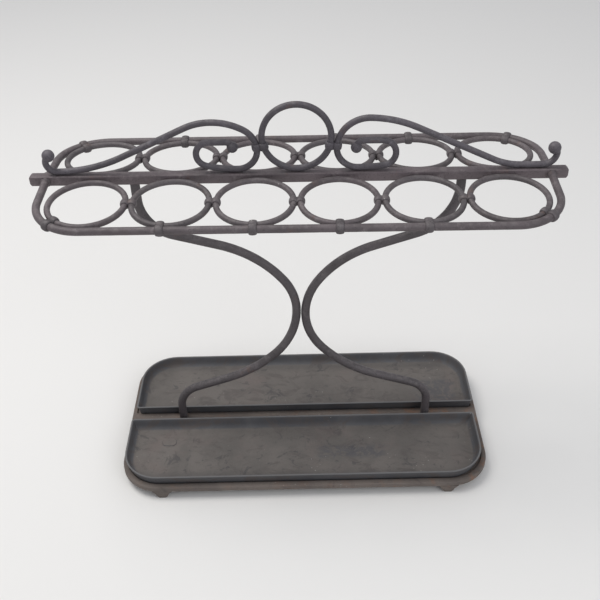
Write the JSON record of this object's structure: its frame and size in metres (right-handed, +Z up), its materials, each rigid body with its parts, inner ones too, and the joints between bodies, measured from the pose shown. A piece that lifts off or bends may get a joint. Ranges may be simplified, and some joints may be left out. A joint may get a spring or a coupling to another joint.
{
  "type": "umbrella stand",
  "caption": "Wrought-iron umbrella stand: rings in two rows on a central bar, scrolled crest, waisted legs and a tray base with lift-out drip pans.",
  "frame": {"origin": "centre of the bounding box at floor level, midway between the two legs", "axes": "+X along the bar to the right seen from the front, +Y from the front to the back, +Z up"},
  "size_m": [0.661, 0.2798, 0.5321],
  "materials": {
    "rod_iron": "dull dark brown patina with worn and rusted spots",
    "pan_iron": "matt grey, water-stained and dusty inside",
    "base_iron": "matt grey-brown with light rust",
    "fixings": "dull old steel"
  },
  "bodies": {
    "stand": {"top_bar": "rod_iron", "front_rail": "rod_iron", "back_rail": "rod_iron", "ring_front_1": "rod_iron", "ring_front_2": "rod_iron", "ring_front_3": "rod_iron", "ring_front_4": "rod_iron", "ring_front_5": "rod_iron", "ring_front_6": "rod_iron", "ring_back_1": "rod_iron", "ring_back_2": "rod_iron", "ring_back_3": "rod_iron", "ring_back_4": "rod_iron", "ring_back_5": "rod_iron", "ring_back_6": "rod_iron", "ring_collar_front_1": "rod_iron", "ring_collar_front_2": "rod_iron", "ring_collar_front_3": "rod_iron", "ring_collar_front_4": "rod_iron", "ring_collar_front_5": "rod_iron", "ring_collar_back_1": "rod_iron", "ring_collar_back_2": "rod_iron", "ring_collar_back_3": "rod_iron", "ring_collar_back_4": "rod_iron", "ring_collar_back_5": "rod_iron", "rail_collar_front_1": "rod_iron", "rail_collar_front_2": "rod_iron", "rail_collar_front_3": "rod_iron", "rail_collar_front_4": "rod_iron", "rail_collar_front_5": "rod_iron", "rail_collar_front_6": "rod_iron", "rail_collar_back_1": "rod_iron", "rail_collar_back_2": "rod_iron", "rail_collar_back_3": "rod_iron", "rail_collar_back_4": "rod_iron", "rail_collar_back_5": "rod_iron", "rail_collar_back_6": "rod_iron", "crest_circle": "rod_iron", "scroll_left": "rod_iron", "scroll_right": "rod_iron", "crest_collar_left": "rod_iron", "crest_collar_right": "rod_iron", "leg_left": "rod_iron", "leg_right": "rod_iron", "foot_washers": "fixings", "foot_nuts": "fixings", "base_frame": "base_iron"},
    "front_pan": {"drip_pan_front": "pan_iron"},
    "back_pan": {"drip_pan_back": "pan_iron"}
  },
  "joints": [
    {"name": "front_pan_lift", "type": "slide", "parent": "stand", "child": "front_pan", "axis": [0, 0, 1], "range_m": [0, 0.08]},
    {"name": "back_pan_lift", "type": "slide", "parent": "stand", "child": "back_pan", "axis": [0, 0, 1], "range_m": [0, 0.08]}
  ]
}
